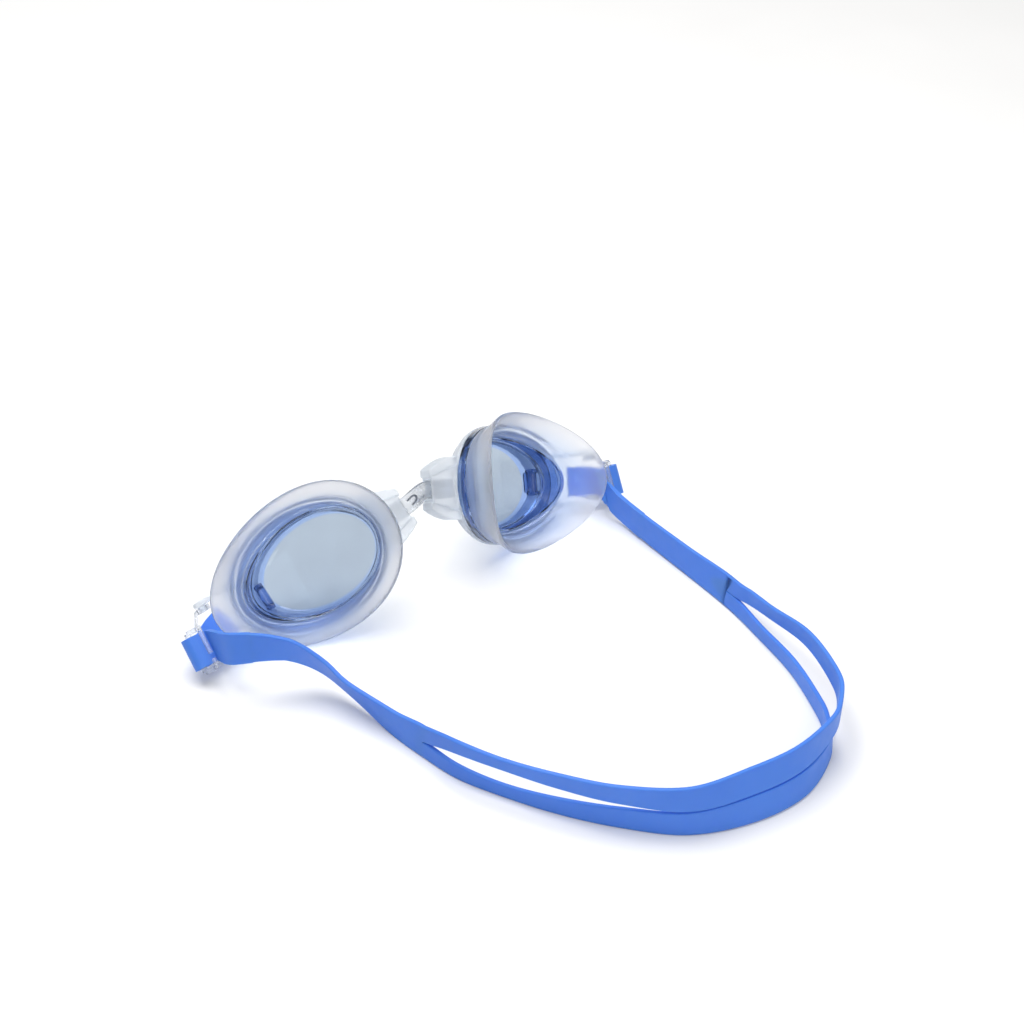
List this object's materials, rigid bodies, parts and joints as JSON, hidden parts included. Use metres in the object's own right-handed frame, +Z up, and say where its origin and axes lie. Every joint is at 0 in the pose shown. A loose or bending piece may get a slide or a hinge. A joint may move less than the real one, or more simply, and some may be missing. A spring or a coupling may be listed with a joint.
{
  "type": "swim goggles",
  "caption": "Swim goggles with tinted eyecups, soft face seals, a push-in nose bridge, swivelling buckles and a split head strap.",
  "frame": {"origin": "under the middle of the goggles' bounding box, on the table that they lie on", "axes": "+Z up, -Y towards the strap's back, where the head would be, +X towards the right eyecup"},
  "size_m": [0.2085, 0.1768, 0.0544],
  "materials": {
    "lens": "clear polycarbonate, light blue tint",
    "gasket": "translucent soft silicone",
    "frame": "clear to frosted moulded plastic",
    "bridge": "clear flexible plastic",
    "buckle": "clear polished plastic",
    "strap": "satin blue silicone"
  },
  "bodies": {
    "bridge_and_strap": {"nose_bridge": "bridge", "strap": "strap"},
    "left_cup": {"left_lens": "lens", "left_gasket": "gasket", "left_frame": "frame"},
    "right_cup": {"right_lens": "lens", "right_gasket": "gasket", "right_frame": "frame"},
    "left_buckle": {"left_clip": "buckle"},
    "right_buckle": {"right_clip": "buckle"}
  },
  "joints": [
    {"name": "bridge_flex", "type": "hinge", "parent": "bridge_and_strap", "child": "left_cup", "pos_m": [-0.0338, 0.02852, 0.03622], "axis": [-0.544, 0.4939, 0.6783], "range_deg": [-8, 25], "stiffness_Nm_per_rad": 0.08, "deforming": ["strap", "nose_bridge"]},
    {"name": "bridge_adjust", "type": "slide", "parent": "bridge_and_strap", "child": "right_cup", "axis": [0.6113, 0.6789, -0.4067], "range_m": [-0.002, 0.004], "deforming": ["strap"]},
    {"name": "left_buckle_swivel", "type": "hinge", "parent": "left_cup", "child": "left_buckle", "pos_m": [-0.09418, -0.00695, 0.01362], "axis": [-0.544, 0.4939, 0.6783], "range_deg": [-15, 15], "deforming": ["strap"]},
    {"name": "right_buckle_swivel", "type": "hinge", "parent": "right_cup", "child": "right_buckle", "pos_m": [0.02937, 0.08026, 0.01286], "axis": [-0.0812, 0.565, 0.8211], "range_deg": [-15, 15], "deforming": ["strap"]}
  ]
}
